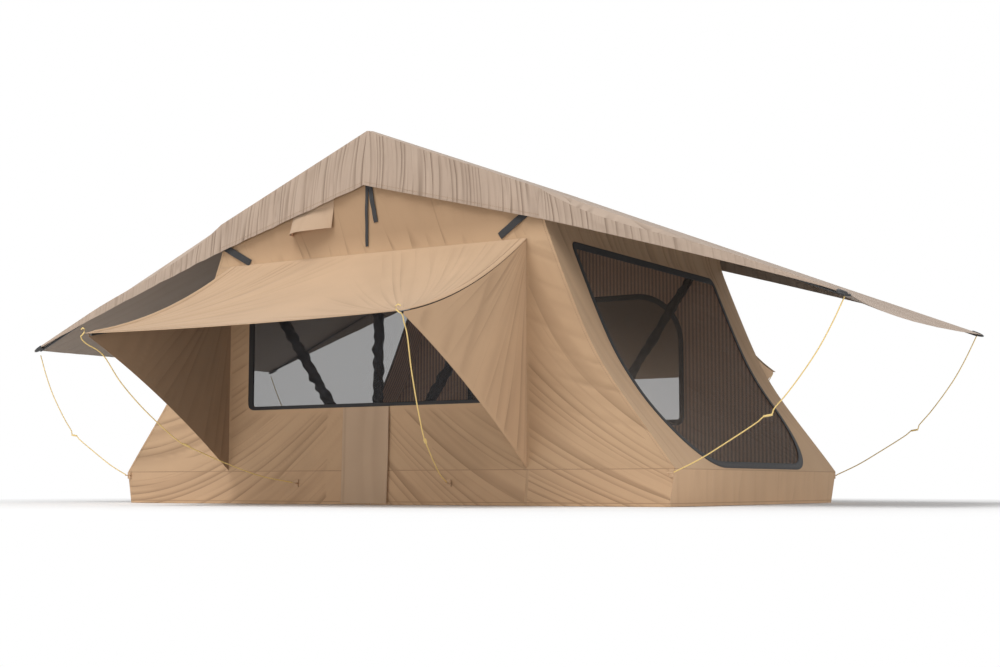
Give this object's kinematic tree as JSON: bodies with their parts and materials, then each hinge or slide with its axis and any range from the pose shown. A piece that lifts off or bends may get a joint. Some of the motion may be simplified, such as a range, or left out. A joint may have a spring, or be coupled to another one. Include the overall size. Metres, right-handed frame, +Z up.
{
  "type": "roof top tent",
  "caption": "Soft roof top tent on a folding two-half base, with bows, canopy, overhanging fly, window awnings and guy cords.",
  "frame": {"origin": "centre of the footprint at the underside of the mounting rails", "axes": "+X along the bed towards the half that folds, +Y across the bed to the back, +Z up"},
  "size_m": [3.53, 2.9686, 1.3598],
  "materials": {
    "rail_aluminium": "satin anodised extrusion",
    "frame_aluminium": "mill finish box section",
    "floor_panel": "sealed plywood",
    "bracket_steel": "black powder coat",
    "zinc_steel": "zinc plated",
    "mattress_cover": "woven grey cover",
    "skirt_cloth": "coated tan canvas",
    "canopy_cloth": "tan ripstop canvas with soft creases",
    "awning_cloth": "light tan canvas",
    "fly_cloth": "grey tan coated polyester",
    "insect_mesh": "fine see-through mesh",
    "black_webbing": "black woven tape",
    "pole_sleeve": "black gathered sleeve",
    "bow_aluminium": "plain tube",
    "fibre_rod": "black glass fibre",
    "guy_cord": "straw yellow braided cord",
    "black_plastic": "moulded black plastic"
  },
  "bodies": {
    "fixed_base": {"inner_rail": "rail_aluminium", "outer_rail": "rail_aluminium", "rail_bolts": "zinc_steel", "fixed_frame": "frame_aluminium", "fixed_floor": "floor_panel", "hinge_plates": "bracket_steel", "pivot_pins": "zinc_steel", "left_mattress": "mattress_cover", "left_skirt": "skirt_cloth", "left_skirt_rings": "black_plastic", "left_canopy": "canopy_cloth", "left_meshes": "insect_mesh", "left_bindings": "black_webbing", "hinge_flaps": "canopy_cloth", "vent_hood": "canopy_cloth", "left_fly_slope": "fly_cloth", "left_front_fly_cord": "guy_cord", "left_back_fly_cord": "guy_cord", "left_runners": "black_plastic"},
    "moving_base": {"moving_frame": "frame_aluminium", "moving_floor": "floor_panel", "moving_brackets": "bracket_steel", "right_pivot_pins": "zinc_steel", "ladder_bracket": "rail_aluminium", "right_mattress": "mattress_cover", "right_skirt": "skirt_cloth", "right_skirt_rings": "black_plastic", "right_canopy": "canopy_cloth", "right_meshes": "insect_mesh", "right_bindings": "black_webbing", "right_fly_slope": "fly_cloth", "right_front_fly_cord": "guy_cord", "right_back_fly_cord": "guy_cord", "right_runners": "black_plastic"},
    "left_bow": {"left_bow": "bow_aluminium", "left_bow_sleeves": "pole_sleeve", "left_fly_end": "fly_cloth", "left_fly_rods": "fibre_rod"},
    "ridge_bow": {"ridge_bow": "bow_aluminium", "ridge_bow_sleeves": "pole_sleeve"},
    "right_bow": {"right_bow": "bow_aluminium", "right_bow_sleeves": "pole_sleeve", "right_fly_end": "fly_cloth", "right_fly_rods": "fibre_rod"},
    "front_left_awning": {"front_left_awning": "awning_cloth"},
    "front_left_wing": {"front_left_wing": "canopy_cloth"},
    "front_left_awning_cord": {"front_left_awning_cord": "guy_cord", "front_left_runner": "black_plastic"},
    "front_right_awning": {"front_right_awning": "awning_cloth"},
    "front_right_wing": {"front_right_wing": "canopy_cloth"},
    "front_right_awning_cord": {"front_right_awning_cord": "guy_cord", "front_right_runner": "black_plastic"},
    "back_left_awning": {"back_left_awning": "awning_cloth"},
    "back_left_wing": {"back_left_wing": "canopy_cloth"},
    "back_left_awning_cord": {"back_left_awning_cord": "guy_cord", "back_left_runner": "black_plastic"},
    "back_right_awning": {"back_right_awning": "awning_cloth"},
    "back_right_wing": {"back_right_wing": "canopy_cloth"},
    "back_right_awning_cord": {"back_right_awning_cord": "guy_cord", "back_right_runner": "black_plastic"}
  },
  "joints": [
    {"name": "fold", "type": "hinge", "parent": "fixed_base", "child": "moving_base", "pos_m": [0, 0, 0.125], "axis": [0, -1, 0], "range_deg": [0, 180], "deforming": ["left_canopy", "left_meshes", "left_bindings", "hinge_flaps", "vent_hood", "left_fly_slope", "left_front_fly_cord", "left_back_fly_cord", "left_runners", "right_canopy", "right_meshes", "right_bindings", "right_fly_slope", "right_front_fly_cord", "right_back_fly_cord", "right_runners", "left_bow_sleeves", "left_fly_end", "left_fly_rods", "ridge_bow_sleeves", "right_bow_sleeves", "right_fly_end", "right_fly_rods", "front_left_awning", "front_right_awning", "back_left_awning", "back_right_awning", "front_left_wing", "front_right_wing", "back_left_wing", "back_right_wing", "front_left_awning_cord", "front_right_awning_cord", "back_left_awning_cord", "back_right_awning_cord", "front_left_runner", "front_right_runner", "back_left_runner", "back_right_runner"]},
    {"name": "left_bow_fold", "type": "hinge", "parent": "fixed_base", "child": "left_bow", "pos_m": [-0.045, 0, 0.14], "axis": [0, -1, 0], "range_deg": [0, 56.52]},
    {"name": "ridge_bow_fold", "type": "hinge", "parent": "fixed_base", "child": "ridge_bow", "pos_m": [0, 0, 0.125], "axis": [0, -1, 0], "range_deg": [0, 90]},
    {"name": "right_bow_fold", "type": "hinge", "parent": "moving_base", "child": "right_bow", "pos_m": [0.045, 0, 0.14], "axis": [0, 1, 0], "range_deg": [0, 57.02]},
    {"name": "front_awning", "type": "hinge", "parent": "fixed_base", "child": "front_left_awning", "pos_m": [0, -0.7403, 0.91], "axis": [-1, 0, 0], "range_deg": [-55, 0]},
    {"name": "front_left_wing_fold", "type": "hinge", "parent": "fixed_base", "child": "front_left_wing", "pos_m": [-0.652, -0.7403, 0.5], "axis": [0, 0, -1], "range_deg": [-85, 0]},
    {"name": "front_left_awning_cord_drop", "type": "hinge", "parent": "fixed_base", "child": "front_left_awning_cord", "pos_m": [-0.338, -0.7513, 0.077], "axis": [-1, 0, 0], "range_deg": [-27, 0]},
    {"name": "front_right_awning_swing", "type": "hinge", "parent": "moving_base", "child": "front_right_awning", "pos_m": [0, -0.7403, 0.91], "axis": [-1, 0, 0], "range_deg": [-55, 0]},
    {"name": "front_right_wing_fold", "type": "hinge", "parent": "moving_base", "child": "front_right_wing", "pos_m": [0.652, -0.7403, 0.5], "axis": [0, 0, 1], "range_deg": [-85, 0]},
    {"name": "front_right_awning_cord_drop", "type": "hinge", "parent": "moving_base", "child": "front_right_awning_cord", "pos_m": [0.338, -0.7513, 0.077], "axis": [-1, 0, 0], "range_deg": [-27, 0]},
    {"name": "back_awning", "type": "hinge", "parent": "fixed_base", "child": "back_left_awning", "pos_m": [0, 0.7403, 0.91], "axis": [1, 0, 0], "range_deg": [-55, 0]},
    {"name": "back_left_wing_fold", "type": "hinge", "parent": "fixed_base", "child": "back_left_wing", "pos_m": [-0.652, 0.7403, 0.5], "axis": [0, 0, 1], "range_deg": [-85, 0]},
    {"name": "back_left_awning_cord_drop", "type": "hinge", "parent": "fixed_base", "child": "back_left_awning_cord", "pos_m": [-0.338, 0.7513, 0.077], "axis": [1, 0, 0], "range_deg": [-27, 0]},
    {"name": "back_right_awning_swing", "type": "hinge", "parent": "moving_base", "child": "back_right_awning", "pos_m": [0, 0.7403, 0.91], "axis": [1, 0, 0], "range_deg": [-55, 0]},
    {"name": "back_right_wing_fold", "type": "hinge", "parent": "moving_base", "child": "back_right_wing", "pos_m": [0.652, 0.7403, 0.5], "axis": [0, 0, -1], "range_deg": [-85, 0]},
    {"name": "back_right_awning_cord_drop", "type": "hinge", "parent": "moving_base", "child": "back_right_awning_cord", "pos_m": [0.338, 0.7513, 0.077], "axis": [1, 0, 0], "range_deg": [-27, 0]}
  ],
  "couplings": [
    {"joint": "left_bow_fold", "follows": "fold", "ratio": 0.314},
    {"joint": "ridge_bow_fold", "follows": "fold", "ratio": 0.5},
    {"joint": "right_bow_fold", "follows": "fold", "ratio": 0.31678},
    {"joint": "front_left_wing_fold", "follows": "front_awning", "ratio": 1.5455},
    {"joint": "front_left_awning_cord_drop", "follows": "front_awning", "ratio": 0.49091},
    {"joint": "front_right_awning_swing", "follows": "front_awning", "ratio": 1},
    {"joint": "front_right_wing_fold", "follows": "front_awning", "ratio": 1.5455},
    {"joint": "front_right_awning_cord_drop", "follows": "front_awning", "ratio": 0.49091},
    {"joint": "back_left_wing_fold", "follows": "back_awning", "ratio": 1.5455},
    {"joint": "back_left_awning_cord_drop", "follows": "back_awning", "ratio": 0.49091},
    {"joint": "back_right_awning_swing", "follows": "back_awning", "ratio": 1},
    {"joint": "back_right_wing_fold", "follows": "back_awning", "ratio": 1.5455},
    {"joint": "back_right_awning_cord_drop", "follows": "back_awning", "ratio": 0.49091}
  ]
}
